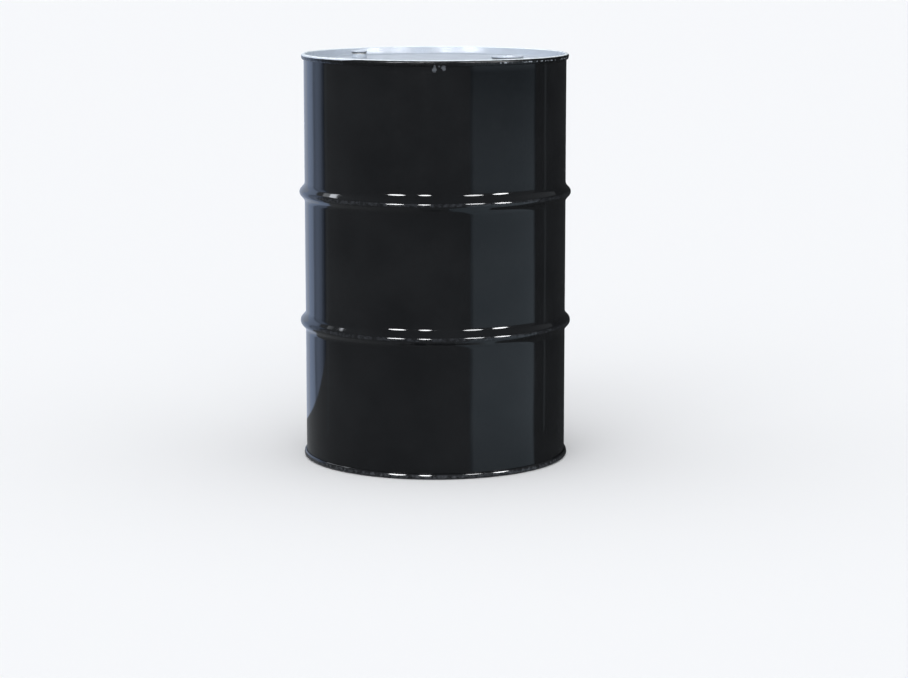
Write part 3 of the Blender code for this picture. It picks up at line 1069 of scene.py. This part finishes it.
def make_studio():
    """The cards that the gloss mirrors, the soft light and the pale floor."""
    sweep_rows = [(SWEEP_BEHIND, CARD_FOOT, 1.0), (7.0, CARD_FOOT, 1.0), (8.0, 0.6, 1.0),
                  (8.0, 4.5, 1.0)]
    curved_card("white_sweep_side", (0.57, 0.71, 1.0),
                [(-112.5, 0.14), (-115.5, 0.36), (-119.0, 0.72), (-124.0, 0.84), (-128.0, 0.76),
                 (-132.0, 0.54), (-136.0, 1.08), (-141.0, 1.02), (-150.0, 0.94)],
                sweep_rows, behind=SWEEP_BEHIND)
    curved_card("white_sweep_back", (0.70, 0.80, 1.0), [(-150.0, 0.88), (-180.0, 0.62)],
                sweep_rows, behind=SWEEP_BEHIND)
    curved_card("grey_panel", (0.72, 0.87, 1.0),
                [(31.0, 0.28), (34.0, 0.60), (95.5, 0.60), (98.5, 0.12)],
                [(0.02, CARD_FOOT, 0.80), (0.70, CARD_FOOT, 1.12), (4.4, CARD_FOOT, 1.0),
                 (9.0, CARD_FOOT, 0.70), (14.0, CARD_FOOT, 0.46), (20.0, CARD_FOOT, 0.36)])
    curved_card("dark_flag", (0.9, 0.95, 1.0), [(98.5, 0.12), (135.0, 0.06), (180.0, 0.02)],
                [(0.02, CARD_FOOT, 1.0), (9.5, CARD_FOOT, 1.0), (9.5, 5.0, 1.0)])
    thin_rows = [(0.4, 0.0, 1.0), (8.0, 0.0, 1.0), (8.0, 2.5, 1.0)]
    thin = (0.85, 0.93, 1.0)
    curved_card("thin_left", thin, [(-112.0, 0.20), (-110.0, 0.30), (-108.0, 0.20)], thin_rows)
    curved_card("thin_right", thin, [(110.0, 0.08), (112.5, 0.24), (115.0, 0.08)], thin_rows)
    lamp = glow("umbrella_light", LAMP_COLOUR, LAMP_STRENGTH)
    soft_lamp = glow("umbrella_light_soft", LAMP_COLOUR, SOFT_LAMP_STRENGTH)
    dim_lamp = glow("umbrella_light_far", (0.90, 0.94, 1.0), DIM_LAMP_STRENGTH)
    umbrella("umbrella_1", -32.7, 12.0, 7.6, LAMP_HALF_HEIGHT, lamp)
    umbrella("umbrella_2", -8.3, 12.0, 5.2, LAMP_HALF_HEIGHT, lamp)
    umbrella("umbrella_3", 34.0, 19.0, 8.6, LAMP_HALF_HEIGHT, soft_lamp)
    umbrella("umbrella_4", 58.4, 12.0, 7.3, LAMP_HALF_HEIGHT, lamp)
    umbrella("umbrella_5", -113.0, 38.4, 8.0, 3.0, dim_lamp, distance=2.2)
    curved_card("high_backdrop", (0.90, 0.95, 1.0), [(-120.0, 0.5), (-150.0, 3.6), (-210.0, 3.6)],
                [(7.0, 4.9, 1.0), (7.0, 13.0, 1.0)])
    make_lights()
    make_floor()
    make_world()


def make_lights():
    """Wide soft light from above and from the camera's side, unseen in reflections."""
    for name, direction, spread, power in (("overhead", (0.1, 0.15, -1.0), 120.0, 2.4),
                                           ("front_fill", (0.2, 1.0, -0.55), 60.0, 0.9)):
        light = bpy.data.lights.new(name, "SUN")
        light.angle = math.radians(spread)
        light.energy = power
        light.color = SUN_COLOUR
        item = bpy.data.objects.new(name, light)
        item.rotation_euler = Vector(direction).to_track_quat("-Z", "Y").to_euler()
        item.visible_glossy = False
        item.visible_camera = False
        bpy.context.scene.collection.objects.link(item)


def make_floor():
    """A wide plain floor. The gloss mirrors the dark studio instead of it."""
    shape = bmesh.new()
    bmesh.ops.create_grid(shape, x_segments=1, y_segments=1, size=FLOOR_SIZE)
    mesh = bpy.data.meshes.new("floor")
    shape.to_mesh(mesh)
    shape.free()
    material = bpy.data.materials.new("floor_pale")
    material.use_nodes = True
    shader = material.node_tree.nodes["Principled BSDF"]
    shader.inputs["Base Color"].default_value = (*FLOOR_COLOUR, 1.0)
    shader.inputs["Roughness"].default_value = 0.9
    shader.inputs["Specular IOR Level"].default_value = 0.0
    mesh.materials.append(material)
    floor = bpy.data.objects.new("floor", mesh)
    floor.location.z = -FLOOR_DROP
    floor.visible_glossy = False
    bpy.context.scene.collection.objects.link(floor)


def make_world():
    """White behind everything the camera sees, and a dim room for light and reflections."""
    world = bpy.data.worlds.new("studio")
    bpy.context.scene.world = world
    world.use_nodes = True
    nodes = world.node_tree.nodes
    links = world.node_tree.links
    nodes.clear()
    seen = nodes.new("ShaderNodeBackground")
    seen.inputs["Color"].default_value = (1.0, 1.0, 1.0, 1.0)
    seen.inputs["Strength"].default_value = 1.0
    room = nodes.new("ShaderNodeBackground")
    room.inputs["Color"].default_value = (*ROOM_COLOUR, 1.0)
    room.inputs["Strength"].default_value = ROOM_STRENGTH
    path = nodes.new("ShaderNodeLightPath")
    mix = nodes.new("ShaderNodeMixShader")
    output = nodes.new("ShaderNodeOutputWorld")
    links.new(path.outputs["Is Camera Ray"], mix.inputs["Fac"])
    links.new(room.outputs["Background"], mix.inputs[1])
    links.new(seen.outputs["Background"], mix.inputs[2])
    links.new(mix.outputs["Shader"], output.inputs["Surface"])


def make_camera():
    """The photograph's viewing angle and framing."""
    lens = bpy.data.cameras.new("camera")
    lens.lens = CAMERA_LENS
    lens.sensor_width = 36.0
    lens.sensor_fit = "HORIZONTAL"
    lens.clip_end = 100.0
    camera = bpy.data.objects.new("camera", lens)
    camera.location = CAMERA_PLACE
    camera.rotation_euler = (CAMERA_TILT, 0.0, 0.0)
    bpy.context.scene.collection.objects.link(camera)
    bpy.context.scene.camera = camera
    bpy.context.scene.view_settings.view_transform = "Standard"


def main():
    """Dress the drum and set up the studio."""
    materials = make_materials()
    make_barrel(materials["barrel"])
    make_head("top_head", (BUNG, VENT), materials["top_head"])
    make_head("bottom_head", (), materials["bottom_head"])
    for size in (BUNG, VENT):
        make_closure(size, materials)
    for name in ("top_seam_compound", "bottom_seam_compound"):
        make_compound(name, materials["compound"])
    make_studio()
    make_camera()


main()
